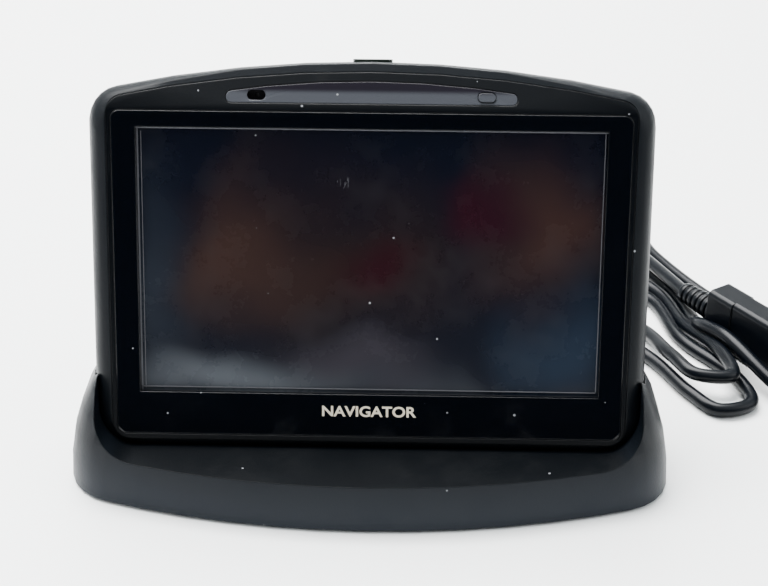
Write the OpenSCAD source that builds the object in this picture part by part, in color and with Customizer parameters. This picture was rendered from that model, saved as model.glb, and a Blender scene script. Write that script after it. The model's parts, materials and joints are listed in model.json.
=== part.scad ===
// Pocket car navigator with a 4.3 inch screen, seated in its desk dock with a fixed cord.
// Millimetres. +X is the user's right, -Y faces the user, +Z is up.
// The origin is the middle of the dock's footprint, on the desk.
// The navigator is drawn flat in its own frame: x to the right, y up the face,
// z out of the face, with the middle of the screen window at zero. seat() stands it in the dock.

/* [Navigator case] */
// Width of the case
case_w = 118; // [118:1:142]
// Height of the case at its middle, along the face
case_h = 83; // [83:1:100]
// Depth of the case from its face to its back
case_d = 24; // [24:0.5:29]
// Radius of the arched top edge
arch_r = 265; // [220:5:400]
// Radius of the case's corners in front view
corner_r = 7; // [5:0.5:9]
// Depth over which the rim rounds into the face
rim_d = 6; // [4:0.5:7]
// Width of the rounded rim beside the front bezel
rim_w = 4.5; // [4:0.1:5.5]
// Width of the rim above the front bezel
rim_top = 2; // [1.5:0.1:3]
// Width of the rim below the front bezel
rim_bottom = 3.1; // [2.5:0.1:4]
// Wall thickness of the rear housing
case_wall = 1.8; // [1.2:0.1:2.2]
// Backward slope of the brow above the glossy panel, in degrees
brow_slope = 25; // [15:1:28]

/* [Screen] */
// Width of the screen window
window_w = 97; // [90:0.5:98]
// Height of the screen window
window_h = 56; // [50:0.5:57]
// Border of the glossy panel beside the window
panel_side = 5; // [4:0.1:5.2]
// Border of the glossy panel above the window
panel_top = 3.4; // [3:0.1:4]
// Border of the glossy panel below the window
panel_bottom = 9.2; // [8:0.1:9.5]
// Thickness of the glossy panel
panel_t = 1.2; // [1:0.1:1.4]
// Thickness of the touch panel
touch_t = 1; // [0.7:0.1:1.2]
// Thickness of the whole display module
lcd_t = 3.3; // [2.8:0.1:3.5]

/* [Dock] */
// Depth of the dock from front to back
dock_d = 63; // [60:1:76]
// Width of each horn of the dock outside the navigator
horn_w = 6.5; // [6:0.5:9]
// Height of the dock's dome
dock_h = 30; // [28:1:36]
// Backward lean of the navigator, in degrees
lean = 19; // [17:1:21]
// Height of the case's bottom front edge above the desk
seat_h = 9.8; // [9.6:0.1:12]
// Height of the front lip above the case's bottom edge
lip_h = 1.2; // [1:0.1:3]
// Depth of the apron in front of the navigator
apron_d = 14; // [12:0.5:17]
// Wall thickness of the dock shell
dock_wall = 1.8; // [1.5:0.1:2.2]
// Thickness of the dock's base plate
base_t = 1.6; // [1.2:0.1:1.8]
// Height of the rubber feet below the base plate
foot_h = 0.8; // [0.6:0.1:1.2]

/* [Moving parts] */
// Length of the power button along the top edge
power_w = 8.3; // [7:0.1:10]
// Press of the power button
power_travel = 0.35; // [0.2:0.05:0.4]
// Press of the recessed reset button
reset_travel = 0.25; // [0.15:0.05:0.3]
// Further push of the seated memory card
card_push = 1; // [0.5:0.1:1.5]
// Clearance between the seated navigator and its dock
seat_fit = 0.35; // [0.3:0.05:0.5]
// Clearance round the buttons and the memory card
slide_fit = 0.3; // [0.2:0.05:0.35]

/* [Cord] */
// Diameter of the cord
cord_d = 3.4; // [3:0.1:3.6]

/* [Hidden] */
$fn = 64;
SMALL_FN = 24;
ARCH_FN = 120;
SLICE_T = 0.02;
CUT = 90;
JOIN = 0.05;
PLASTIC = [0.12, 0.13, 0.15];
DARK = [0.05, 0.05, 0.06];
STEEL = [0.62, 0.63, 0.65];
GREEN = [0.08, 0.25, 0.14];
BRASS = [0.8, 0.65, 0.3];

// Where the navigator's face stands
half_w = case_w / 2;
half_h = case_h / 2;
face_y = -dock_d / 2 + apron_d + half_h * sin(lean);
face_z = seat_h + half_h * cos(lean);

// Back of the case: it bulges from the full outline to a flat middle
side_end = rim_d + 3;
back_run = 26;
back_power = 2.3;
back_open = 0.25;

// Outline of the front bezel and of the glossy panel
seam_gap = 0.1;
bezel_w = case_w - 2 * rim_w;
bezel_top = half_h - rim_top;
bezel_bottom = -half_h + rim_bottom;
bezel_r = 3.6;
panel_w = window_w + 2 * panel_side;
panel_y0 = -window_h / 2 - panel_bottom;
panel_y1 = window_h / 2 + panel_top;
panel_r = 1.8;
panel_fit = 0.1;
brow_y = panel_y1 + 0.5;

// Depths of the parts behind the face
gasket_t = 0.4;
gasket_w = 2;
touch_edge = 2;
touch_fit = 0.4;
touch_z = -panel_t - gasket_t;
lcd_z = touch_z - touch_t;
lcd_back = lcd_z - lcd_t;
lcd_glass_t = 1.5;
lcd_edge = 2.5;
lcd_frame_edge = 1.6;
lcd_frame_chin = 4;
lcd_fit = 0.1;
bezel_fit = 0.3;
chassis_t = 1;
chassis_lap = 1;
chassis_back = lcd_back - chassis_t;
standoff_h = 1;
standoff_d = 4;
board_t = 1;
board_front = chassis_back - standoff_h;
board_back = board_front - board_t;
board_w = window_w + 3;
board_y0 = -window_h / 2 - 5;
board_y1 = window_h / 2 + 3;
screw_fit = 0.1;

// Screws that hold the case together
case_screws_at = [
    [-44, half_h - 8.2], [44, half_h - 8.2],
    [-48, -half_h + 5.5], [48, -half_h + 5.5]
];
case_screw_d = 1.6;
case_screw_head_d = 3.2;
case_screw_head_t = 1.1;
case_screw_l = 5.4;
case_screw_seat = -12;
case_post_d = 5.2;
case_boss_d = 4;
case_boss_h = 1.7;
case_split = 0.1;
board_screws_at = [[-46, -28], [46, -28], [-46, 26], [46, 26]];
board_screw_d = 1.4;
board_screw_head_d = 2.6;
board_screw_head_t = 0.9;

// Lens strip in the brow, with an oval for the microphone and one for the light sensor
strip_w = 59.6;
strip_y0 = panel_y1 + 1.8;
strip_h = 4.4;
strip_r = 205;
strip_end_r = 1.05;
strip_t = 1.1;
eye_x = 23.6;
eye_w = 3.8;
eye_h = 2;
eye_y = strip_y0 + 1.5;
eye_proud = 0.25;
sensor_w = 3;
sensor_h = 2;
sensor_t = 1;
microphone_d = 4;
microphone_t = 1.5;
microphone_hole_d = 0.9;
microphone_boot_t = 3;

// Power button in the top edge
power_z = -9.5;
power_d = 3.4;
power_proud = 0.5;
power_flange = 0.6;
power_flange_t = 1;
power_play = 0.8;
switch_w = 6;
switch_t = 3;
switch_y1 = board_y1 + 3.5;
plunger_w = 2.6;
plunger_t = 1.4;
plunger_h = 2;
press_gap = 0.1;

// Memory card in the left edge
card_l = 32;
card_w = 24;
card_t = 2.1;
card_corner = 4;
card_y = 4;
card_wall = 0.5;
card_sunk = 0.6;
card_z = board_back - card_wall - slide_fit - card_t;
card_x = -half_w + card_sunk;
card_end = card_x + card_l + card_push + slide_fit;

// Sockets and the reset button in the bottom edge
socket_z = -11.5;
socket_w = 22.8;
socket_t = 4.2;
socket_deep = 3.4;
socket_wall = 0.5;
socket_in = 9.4;
edge_gap = 0.2;
socket_front = -half_h + case_wall + edge_gap;
usb_x = 24;
usb_w = 6.8;
usb_t = 3;
usb_deep = 4.5;
usb_in = 5.5;
usb_z = board_back - usb_t / 2 - socket_wall;
reset_x = -22;
reset_d = 1.2;
reset_hole = 0.2;
reset_sunk = 0.6;
reset_flange_d = 2.6;
reset_flange_t = 0.8;
reset_z = board_back - 1.4;
reset_gap = 0.05;
reset_play = 0.7;
reset_switch_y = board_y0 - 1.2;
reset_switch_l = 3.7;
reset_switch_w = 4;
reset_switch_t = 2.6;

// Ribbon between the display and the main board
flex_x = -36;
flex_w = 14;
flex_t = 0.2;
flex_y = board_y0 - 1.2;
flex_lap = 1;
flex_tail = 4;

// Battery and aerial behind the board
battery_w = 46;
battery_h = 34;
battery_t = 5;
battery_x = 1;
battery_y = -7;
battery_r = 2;
pad_t = 0.6;
pad_edge = 2;
antenna_w = 18;
antenna_t = 4;
antenna_at = [18, board_y1 - 10.5];
can_low = [28, -8];
can_high = [48, 16];
can_t = 2.2;
can_wall = 0.3;
// Each chip: middle x, middle y, width, height
chips = [[-36, -20, 12, 9], [-30, 23, 9, 7], [-12, 20, 12, 10], [38, -20, 9, 9], [40, 23, 7, 5]];
chip_t = 1.2;

// Loudspeaker at the back
speaker_y = -4;
speaker_r = 14;
seal_t = 1;
seal_w = 2;
seat_rise = 0.3;
speaker_flange_t = 1;
speaker_basket_r = 11;
speaker_basket_t = 2.8;
speaker_magnet_r = 8;
speaker_magnet_t = 2.3;
speaker_z = -case_d + case_wall + seat_rise + seal_t;
grille_r = 15;
grille_t = 1.2;
grille_fit = 0.1;
grille_hole_r = 11;
grille_slots = 7;
grille_slot = 1.4;
grille_pitch = 3;

// Dock
dock_w = case_w + 2 * horn_w;
front_r = 190;
rear_r = 92;
dock_corner_r = 13;
dome_run = 16;
dome_power = 2.2;
dome_draft = 0.04;
dome_steps = 7;
apron_z = seat_h + lip_h;
scoop_lap = 1.2;
scoop_r = 8;
scoop_depth = 4;
lift_travel = 60;
low_ceiling = 4.6;
front_bay = 31;
rear_bay = 24.5;
apron_back = -dock_d / 2 + apron_d - 2.5;
base_top = foot_h + base_t;
base_fit = 0.15;
foot_d = 9;
foot_sunk = 0.6;
feet_at = [[-48, -15], [48, -15], [-36, 15], [36, 15]];
dock_screws_at = [[-36, -21], [36, -21], [-28, 17], [28, 17]];
dock_screw_d = 2.2;
dock_screw_head_d = 4.2;
dock_screw_head_t = 0.8;
dock_screw_l = 5.5;
dock_boss_d = 6;
weight_fit = 0.1;
front_weight = [[-28, -26.5, base_top], [28, -20.5, 8.4]];
rear_weight = [[8, 11, base_top], [22, 22.5, 11]];
contact_w = 22;
contact_t = 3.4;
contact_in = 3;
contact_fit = 0.2;
contact_board_w = 30;
pocket_deep = 12;
contact_board_t = 0.8;
contact_board_d = 8;
contact_board_y = -half_h - seat_fit - dock_wall - JOIN;
contact_board_z = socket_z - 2.1;
contact_top = -half_h + contact_in;
pin_count = 10;
pin_pitch = 2;
pin_w = 0.9;
pin_t = 0.2;
pin_end = 0.6;

// Where the cord leaves the dock
relief_z = 6.4;
relief_l = 11.5;
relief_r = 3.5;
relief_tip_r = 2.3;
relief_neck_r = 2.6;
relief_flange_r = 3.6;
relief_flange_t = 1.4;
relief_groove = 0.5;
relief_ribs = 4;
relief_step = 2.4;
RIB_STEPS = [0, 0.6, 0.6, 1];
hole_fit = 0.1;
relief_seat_y = dock_d / 2 - dome_inset(relief_z) - dock_wall - hole_fit;
clamp_w = 9;
clamp_l = 5;
clamp_y = 20.5;

// Middle line of the cord: from the dock's sleeve, round its loose loops, to the plug's sleeve
cord_sides = 8;
cord_rings = 2;
cord_points = [
    [0, 43, 6.4], [1, 51, 4.6], [12, 57.5, 1.7], [58, 47.5, 1.7], [68.5, 36, 1.7], [75.8, 21, 1.7],
    [81.5, 13.8, 1.7], [89.6, 16.6, 1.7], [88.6, 27, 1.7], [77.7, 45, 1.7], [72, 66, 1.7],
    [53, 77.5, 1.7], [45, 67, 1.7], [54, 57.5, 1.7], [67, 50.5, 2], [73, 32, 5.1],
    [77.4, 23.6, 5.3], [85.8, 23, 5.3], [85.4, 35, 4.9], [79.4, 53, 1.7], [75.6, 68, 1.7],
    [64.5, 82.5, 1.7], [52, 92, 1.7], [52.5, 109, 1.7], [70, 114, 1.7], [77.5, 89, 1.7],
    [90.5, 63, 1.7], [115, 31, 1.7], [114.5, 16.5, 1.7], [105, 12.5, 2], [97, 20, 3.8],
    [87, 37, 7.6], [82.6, 46, 5.6], [82.2, 52, 3], [80.6, 64, 1.7], [73, 82, 1.7], [57, 97, 1.7],
    [66, 105, 1.7], [72.5, 84, 5], [80.3, 59.7, 7.3]
];

// Plug, lying on its narrow edge beside the dock
plug_at = [87, 49.8, 7.3];
plug_turn = -56;
plug_h = 14.6;
plug_r = 1.5;
plug_grip_l = 8;
plug_grip_t = 8;
plug_l = 22;
plug_t = 7.3;
plug_lap = 3;
plug_ribs = 5;
plug_relief_l = 12;
plug_relief_r = 3.4;
plug_relief_tip_r = 2.7;
shell_l = 12;
shell_t = 4.5;
shell_h = 12;
shell_wall = 0.4;
tongue_h = 10.5;
plug_contacts_at = [-3.5, -1, 1, 3.5];

// ---------- helpers ----------

// Stands what is drawn in the navigator's frame in the dock.
module seat() {
    translate([0, face_y, face_z])
        rotate([90 - lean, 0, 0])
            children();
}

// Flat plate from height z0 to z1 of a 2-D outline.
module plate(z0, z1) {
    translate([0, 0, z0])
        linear_extrude(height = z1 - z0)
            children();
}

// Box from its lowest to its highest corner.
module block(low, high) {
    translate(low)
        cube(high - low);
}

// Prism along y, from y0 to y1, of an outline whose height is the depth z.
module along_y(x, z, y0, y1) {
    translate([x, y0, z])
        rotate([-90, 0, 0])
            linear_extrude(height = y1 - y0)
                children();
}

// Rectangle with round corners, from its lowest to its highest corner.
module round_rect(low, high, r) {
    for (x = [low[0] + r, high[0] - r])
        for (y = [low[1] + r, high[1] - r])
            translate([x, y])
                circle(r, $fn = SMALL_FN);
    translate([low[0] + r, low[1]])
        square([high[0] - low[0] - 2 * r, high[1] - low[1]]);
    translate([low[0], low[1] + r])
        square([high[0] - low[0], high[1] - low[1] - 2 * r]);
}

// Oval with round ends, lying along x, centred.
module pill(w, h) {
    for (side = [-1, 1])
        translate([side * (w - h) / 2, 0])
            circle(d = h, $fn = SMALL_FN);
    square([w - h, h], center = true);
}

// Outline w wide each side, straight below at y0 and arched above to y1, with round corners.
module arched(w, y0, y1, r) {
    offset(r = r, $fn = SMALL_FN)
        offset(delta = -r)
            intersection() {
                translate([-w, y0])
                    square([2 * w, y1 - y0]);
                translate([0, y1 - arch_r])
                    circle(arch_r, $fn = ARCH_FN);
            }
}

// A screw whose head lies under z = 0 and whose shank runs up the axis.
module screw(d, head_d, head_t, length) {
    difference() {
        translate([0, 0, -head_t])
            cylinder(d = head_d, h = head_t);
        for (turn = [0, 90])
            rotate(turn)
                translate([0, 0, -head_t])
                    cube([head_d * 0.6, head_d * 0.18, head_t], center = true);
    }
    cylinder(d = d, h = length);
}

// How far the case's outline is inset along its rounded rim and its bulging back.
function front_inset(a) = rim_w * (1 - cos(a));
function back_bulge(t) = pow(t, 2 / back_power);

// One thin slice of the case, with its front face at depth z, inset by run and grown by grow.
module case_slice(run, z, grow) {
    plate(z - SLICE_T, z)
        arched(half_w - run + grow, -half_h + run - grow, half_h - run + grow,
               corner_r + run * back_open + grow);
}

// Slices that bound the case; grow moves every face out by a clearance or in by a wall.
module case_slices(grow) {
    for (a = [0:22.5:90])
        case_slice(front_inset(a), -rim_d * (1 - sin(a)) + grow * sin(a), grow);
    for (a = [0:15:90])
        case_slice(back_run * (1 - back_bulge(cos(a))),
                   SLICE_T - side_end - (case_d - side_end) * back_bulge(sin(a)) - grow * sin(a),
                   grow);
}

// Everything in front of the brow, which slopes back above the panel.
module above_brow(lift) {
    translate([0, brow_y, lift])
        rotate([-brow_slope, 0, 0])
            translate([-CUT, 0, 0])
                cube([2 * CUT, CUT, CUT / 2]);
}

// Slab that follows the brow, from one depth under its surface down to another.
module brow_slab(top, bottom) {
    translate([0, brow_y, 0])
        rotate([-brow_slope, 0, 0])
            block([-CUT, -1, -bottom], [CUT, CUT / 2, -top]);
}

// Outer body of the case.
module case_body(grow) {
    difference() {
        hull()
            case_slices(grow);
        above_brow(grow);
    }
}

// Outline of the front bezel, grown by grow.
module bezel_outline(grow) {
    arched(bezel_w / 2 + grow, bezel_bottom - grow, bezel_top + grow, bezel_r + grow);
}

module panel_outline(grow) {
    round_rect([-panel_w / 2 - grow, panel_y0 - grow], [panel_w / 2 + grow, panel_y1 + grow],
               panel_r + grow);
}

// Outline of the window, grown by grow.
module window_outline(grow) {
    square([window_w + 2 * grow, window_h + 2 * grow], center = true);
}

// Outline of the display module's tray, grown by grow.
module tray_outline(grow) {
    glass_w = window_w + 2 * lcd_edge;
    glass_h = window_h + 2 * lcd_edge;
    translate([-glass_w / 2 - lcd_frame_edge - grow, -glass_h / 2 - lcd_frame_chin - grow])
        square([glass_w + 2 * lcd_frame_edge + 2 * grow,
                glass_h + lcd_frame_edge / 2 + lcd_frame_chin + 2 * grow]);
}

// Outline of the lens strip: straight below, arched above, with round ends.
module strip_outline(grow) {
    offset(r = strip_end_r + grow, $fn = SMALL_FN)
        offset(delta = -strip_end_r)
            intersection() {
                translate([-strip_w / 2, strip_y0])
                    square([strip_w, strip_h]);
                translate([0, strip_y0 + strip_h - strip_r])
                    circle(strip_r, $fn = ARCH_FN);
            }
}

// ---------- navigator: shells and screen ----------

// Space inside the rear housing, less the screw posts and the loudspeaker's seat.
module case_cavity() {
    difference() {
        intersection() {
            case_body(-case_wall);
            block([-CUT, -CUT, -CUT], [CUT, CUT, touch_z]);
        }
        for (p = case_screws_at)
            translate([p[0], p[1], -case_d])
                cylinder(d = case_post_d, h = case_d + lcd_back - case_boss_h - case_split);
        translate([0, speaker_y, -case_d])
            cylinder(r = grille_r, h = case_wall + seat_rise);
    }
}

// Room inside the rear housing for the body of a socket.
module socket_room(x, z, w, t, inward) {
    side = w / 2 + socket_wall + edge_gap;
    block([x - side, socket_front - edge_gap, z - t / 2 - socket_wall - edge_gap],
          [x + side, socket_front + inward + edge_gap, board_back + edge_gap]);
}

// Openings in the edges and the back of the rear housing.
module case_openings() {
    along_y(0, power_z, half_h - 2 * case_wall, half_h + 2 * case_wall)
        pill(power_w + 2 * slide_fit, power_d + 2 * slide_fit);
    block([-half_w - case_wall, card_y - card_w / 2 - slide_fit, card_z - slide_fit],
          [-half_w + 2 * case_wall, card_y + card_w / 2 + slide_fit, card_z + card_t + slide_fit]);
    block([-socket_w / 2 - edge_gap, -half_h - case_wall, socket_z - socket_t / 2 - edge_gap],
          [socket_w / 2 + edge_gap, -half_h + 2 * case_wall, socket_z + socket_t / 2 + edge_gap]);
    block([usb_x - usb_w / 2 - edge_gap, -half_h - case_wall, usb_z - usb_t / 2 - edge_gap],
          [usb_x + usb_w / 2 + edge_gap, -half_h + 2 * case_wall, usb_z + usb_t / 2 + edge_gap]);
    socket_room(0, socket_z, socket_w, socket_t, socket_in);
    socket_room(usb_x, usb_z, usb_w, usb_t, usb_in);
    along_y(reset_x, reset_z, -half_h - case_wall, -half_h + 2 * case_wall)
        circle(d = reset_d + 2 * reset_hole, $fn = SMALL_FN);
    translate([0, speaker_y, -case_d - 1])
        cylinder(r = grille_r + grille_fit, h = grille_t + 1);
    translate([0, speaker_y, -case_d])
        cylinder(r = grille_hole_r, h = 2 * case_wall);
    for (p = case_screws_at)
        translate([p[0], p[1], -case_d - 1]) {
            cylinder(d = case_screw_head_d + 2 * case_split, h = case_d + case_screw_seat + 1);
            cylinder(d = case_screw_d + 2 * screw_fit, h = case_d);
        }
}

module rear_housing() {
    color(PLASTIC)
        seat()
            difference() {
                case_body(0);
                case_cavity();
                plate(lcd_back - case_split, CUT / 2)
                    bezel_outline(seam_gap);
                case_openings();
            }
}

module front_bezel() {
    color(PLASTIC)
        seat()
            difference() {
                union() {
                    plate(lcd_back, 0)
                        bezel_outline(0);
                    for (p = case_screws_at)
                        translate([p[0], p[1], lcd_back - case_boss_h])
                            cylinder(d = case_boss_d, h = case_boss_h + 1);
                }
                above_brow(0);
                plate(-panel_t, 1)
                    panel_outline(panel_fit);
                plate(lcd_z, 1)
                    window_outline(touch_edge + touch_fit);
                plate(lcd_back - 1, lcd_z)
                    tray_outline(bezel_fit);
                intersection() {
                    plate(lcd_back, CUT / 2)
                        strip_outline(panel_fit);
                    brow_slab(-CUT / 2, strip_t);
                }
                for (x = [-eye_x, eye_x])
                    translate([x, eye_y])
                        plate(lcd_back - 1, 1)
                            pill(eye_w, eye_h);
                for (p = case_screws_at)
                    translate([p[0], p[1], lcd_back - case_boss_h - 1])
                        cylinder(d = case_screw_d + 2 * screw_fit,
                                 h = case_screw_l + case_screw_seat - lcd_back + case_boss_h + 1.5);
            }
}

module gloss_panel() {
    color(DARK)
        seat()
            plate(-panel_t, 0)
                difference() {
                    panel_outline(0);
                    window_outline(0);
                }
}

module lens_strip() {
    color([0.2, 0.2, 0.23])
        seat()
            difference() {
                intersection() {
                    plate(lcd_back, CUT / 2)
                        strip_outline(0);
                    brow_slab(0, strip_t);
                }
                for (x = [-eye_x, eye_x])
                    translate([x, eye_y])
                        plate(lcd_back, 1)
                            pill(eye_w, eye_h);
            }
}

module sensor_lens() {
    color([0.1, 0.1, 0.14])
        seat()
            intersection() {
                translate([eye_x, eye_y])
                    plate(lcd_back, 1)
                        pill(eye_w - 2 * panel_fit, eye_h - 2 * panel_fit);
                brow_slab(-eye_proud, CUT / 2);
            }
}

module microphone_boot() {
    color(DARK)
        seat()
            translate([-eye_x, eye_y])
                plate(lcd_back, lcd_back + microphone_boot_t)
                    difference() {
                        pill(eye_w - 2 * panel_fit, eye_h - 2 * panel_fit);
                        circle(d = microphone_hole_d, $fn = SMALL_FN);
                    }
}

module microphone() {
    color(STEEL)
        seat()
            translate([-eye_x, eye_y, lcd_back - microphone_t])
                cylinder(d = microphone_d, h = microphone_t);
}

module light_sensor() {
    color(DARK)
        seat()
            block([eye_x - sensor_w / 2, eye_y - sensor_h / 2, lcd_back - sensor_t],
                  [eye_x + sensor_w / 2, eye_y + sensor_h / 2, lcd_back]);
}

module screen_gasket() {
    color([0.2, 0.2, 0.2])
        seat()
            plate(touch_z, -panel_t)
                difference() {
                    window_outline(touch_edge);
                    window_outline(touch_edge - gasket_w + JOIN);
                }
}

module touch_panel() {
    color([0.09, 0.08, 0.1])
        seat()
            plate(lcd_z, touch_z)
                window_outline(touch_edge);
}

module lcd_panel() {
    color([0.12, 0.1, 0.12])
        seat()
            plate(lcd_z - lcd_glass_t, lcd_z)
                window_outline(lcd_edge);
}

module lcd_frame() {
    color(STEEL)
        seat()
            difference() {
                plate(lcd_back, lcd_z)
                    tray_outline(0);
                plate(lcd_z - lcd_glass_t, lcd_z + 1)
                    window_outline(lcd_edge + lcd_fit);
            }
}

module display_flex() {
    color([0.75, 0.45, 0.12])
        seat()
            translate([flex_x - flex_w / 2, 0, 0]) {
                block([0, flex_y, lcd_back - flex_t], [flex_w, flex_y + flex_lap, lcd_back]);
                block([0, flex_y, board_back - flex_t], [flex_w, flex_y + flex_t, lcd_back]);
                block([0, flex_y, board_back - flex_t], [flex_w, flex_y + flex_tail, board_back]);
            }
}

// ---------- navigator: electronics ----------

module chassis_plate() {
    edge = window_w / 2 + lcd_edge + lcd_frame_edge + bezel_fit + chassis_lap;
    color(STEEL)
        seat()
            difference() {
                union() {
                    block([-edge, board_y0, chassis_back], [edge, board_y1, lcd_back]);
                    for (p = board_screws_at)
                        translate([p[0], p[1], board_front])
                            cylinder(d = standoff_d, h = standoff_h + JOIN);
                }
                for (p = board_screws_at)
                    translate([p[0], p[1], board_front - 1])
                        cylinder(d = board_screw_d + 2 * screw_fit, h = standoff_h + chassis_t + 2);
            }
}

module main_board() {
    color(GREEN)
        seat()
            difference() {
                block([-board_w / 2, board_y0, board_back], [board_w / 2, board_y1, board_front]);
                for (p = board_screws_at)
                    translate([p[0], p[1], board_back - 1])
                        cylinder(d = board_screw_d + 2 * screw_fit, h = board_t + 2);
            }
}

module board_chips() {
    color(DARK)
        seat()
            for (c = chips)
                block([c[0] - c[2] / 2, c[1] - c[3] / 2, board_back - chip_t],
                      [c[0] + c[2] / 2, c[1] + c[3] / 2, board_back]);
}

module shield_can() {
    color(STEEL)
        seat()
            difference() {
                block([can_low[0], can_low[1], board_back - can_t],
                      [can_high[0], can_high[1], board_back]);
                block([can_low[0] + can_wall, can_low[1] + can_wall, board_back - can_t + can_wall],
                      [can_high[0] - can_wall, can_high[1] - can_wall, board_back + 1]);
            }
}

module gps_antenna() {
    color([0.7, 0.66, 0.55])
        seat()
            translate([antenna_at[0], antenna_at[1]])
                plate(board_back - antenna_t, board_back)
                    square(antenna_w, center = true);
}

module battery_outline(edge) {
    translate([battery_x, battery_y])
        round_rect([-battery_w / 2 + edge, -battery_h / 2 + edge],
                   [battery_w / 2 - edge, battery_h / 2 - edge], battery_r);
}

module battery_pad() {
    color([0.3, 0.3, 0.3])
        seat()
            plate(board_back - pad_t, board_back)
                battery_outline(pad_edge);
}

module battery_cell() {
    color([0.75, 0.75, 0.78])
        seat()
            plate(board_back - pad_t - battery_t, board_back - pad_t)
                battery_outline(0);
}

module speaker() {
    z1 = speaker_flange_t;
    z2 = z1 + speaker_basket_t;
    z3 = z2 + speaker_magnet_t;
    color([0.25, 0.25, 0.27])
        seat()
            translate([0, speaker_y, speaker_z])
                rotate_extrude()
                    polygon([[0, 0], [speaker_r - seal_w, 0], [speaker_r, 0], [speaker_r, z1],
                             [speaker_basket_r, z2], [speaker_magnet_r, z2],
                             [speaker_magnet_r, z3], [0, z3]]);
}

module speaker_seal() {
    color([0.15, 0.15, 0.15])
        seat()
            translate([0, speaker_y])
                plate(speaker_z - seal_t, speaker_z)
                    difference() {
                        circle(speaker_r);
                        circle(speaker_r - seal_w);
                    }
}

module speaker_grille() {
    color(DARK)
        seat()
            translate([0, speaker_y, -case_d])
                difference() {
                    cylinder(r = grille_r, h = grille_t);
                    for (i = [0:grille_slots - 1]) {
                        y = (i - (grille_slots - 1) / 2) * grille_pitch;
                        x = sqrt(grille_hole_r * grille_hole_r - y * y);
                        block([-x, y - grille_slot / 2, -1], [x, y + grille_slot / 2, grille_t + 1]);
                    }
                }
}

module power_cap() {
    flange_top = half_h - case_wall - power_play;
    flange_bottom = flange_top - power_flange_t;
    color([0.2, 0.24, 0.22])
        seat() {
            along_y(0, power_z, flange_top - JOIN, half_h + power_proud)
                pill(power_w, power_d);
            along_y(0, power_z, flange_bottom, flange_top)
                pill(power_w + 2 * power_flange, power_d + 2 * power_flange);
            block([-plunger_w / 2, switch_y1 + plunger_h + power_travel + press_gap,
                   power_z - power_d / 2],
                  [plunger_w / 2, flange_bottom + JOIN, power_z + power_d / 2]);
        }
}

module power_switch() {
    mid_z = board_back - switch_t / 2;
    color(STEEL)
        seat() {
            block([-switch_w / 2, board_y1 - 2.5, board_back - switch_t],
                  [switch_w / 2, switch_y1, board_back]);
            block([-plunger_w / 2, switch_y1 - JOIN, mid_z - plunger_t / 2],
                  [plunger_w / 2, switch_y1 + plunger_h, mid_z + plunger_t / 2]);
        }
}

module card_socket() {
    side = card_w / 2 + slide_fit;
    color(STEEL)
        seat()
            difference() {
                block([-half_w + 2 * case_wall, card_y - side - card_wall,
                       card_z - slide_fit - card_wall],
                      [card_end + card_wall, card_y + side + card_wall, board_back]);
                block([-CUT, card_y - side, card_z - slide_fit],
                      [card_end, card_y + side, card_z + card_t + slide_fit]);
            }
}

module memory_card() {
    low = card_y - card_w / 2;
    high = card_y + card_w / 2;
    end = card_x + card_l;
    color([0.1, 0.12, 0.3])
        seat()
            plate(card_z, card_z + card_t)
                polygon([[card_x, low], [end - card_corner, low], [end, low + card_corner],
                         [end, high], [card_x, high]]);
}

// Body of a socket on the back of the board, open at the bottom edge of the case.
module edge_socket(x, z, w, t, deep, inward) {
    difference() {
        block([x - w / 2 - socket_wall, socket_front, z - t / 2 - socket_wall],
              [x + w / 2 + socket_wall, socket_front + inward, board_back]);
        block([x - w / 2, socket_front - 1, z - t / 2],
              [x + w / 2, socket_front + deep, z + t / 2]);
    }
}

module dock_socket() {
    color(DARK)
        seat()
            edge_socket(0, socket_z, socket_w, socket_t, socket_deep, socket_in);
}

module usb_socket() {
    color(STEEL)
        seat()
            edge_socket(usb_x, usb_z, usb_w, usb_t, usb_deep, usb_in);
}

module reset_switch() {
    color(DARK)
        seat()
            block([reset_x - reset_switch_w / 2, reset_switch_y, board_back - reset_switch_t],
                  [reset_x + reset_switch_w / 2, reset_switch_y + reset_switch_l, board_back]);
}

module reset_plunger() {
    flange_y = -half_h + case_wall + reset_play;
    color(DARK)
        seat() {
            along_y(reset_x, reset_z, -half_h + reset_sunk,
                    reset_switch_y - reset_travel - reset_gap)
                circle(d = reset_d, $fn = SMALL_FN);
            along_y(reset_x, reset_z, flange_y, flange_y + reset_flange_t)
                circle(d = reset_flange_d, $fn = SMALL_FN);
        }
}

module board_screws() {
    color(STEEL)
        seat()
            for (p = board_screws_at)
                translate([p[0], p[1], board_back])
                    screw(board_screw_d, board_screw_head_d, board_screw_head_t,
                          board_t + standoff_h + chassis_t - JOIN);
}

module case_screws() {
    color(STEEL)
        seat()
            for (p = case_screws_at)
                translate([p[0], p[1], case_screw_seat])
                    screw(case_screw_d, case_screw_head_d, case_screw_head_t, case_screw_l);
}

// ---------- dock ----------

// Plan outline of the dock, inset by run.
module dock_outline(run) {
    offset(delta = -run)
        offset(r = dock_corner_r, $fn = SMALL_FN)
            offset(delta = -dock_corner_r)
                intersection() {
                    square([dock_w, dock_d], center = true);
                    translate([0, front_r - dock_d / 2])
                        circle(front_r, $fn = ARCH_FN);
                    translate([0, dock_d / 2 - rear_r])
                        circle(rear_r, $fn = ARCH_FN);
                }
}

// How far the dome's side has moved in at height z.
function dome_inset(z) =
    dome_draft * z + dome_run * (1 - pow(1 - pow(z / dock_h, dome_power), 1 / dome_power));

// Dome of the dock above the height low, inset by wall on every side.
module dome(wall, low) {
    hull()
        for (i = [0:dome_steps]) {
            z = foot_h + (dock_h - foot_h) * sin(90 * i / dome_steps);
            top = max(z - wall * i / dome_steps, foot_h) + (i == 0 ? low : 0);
            plate(top, top + SLICE_T)
                dock_outline(dome_inset(z) + wall);
        }
}

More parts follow.
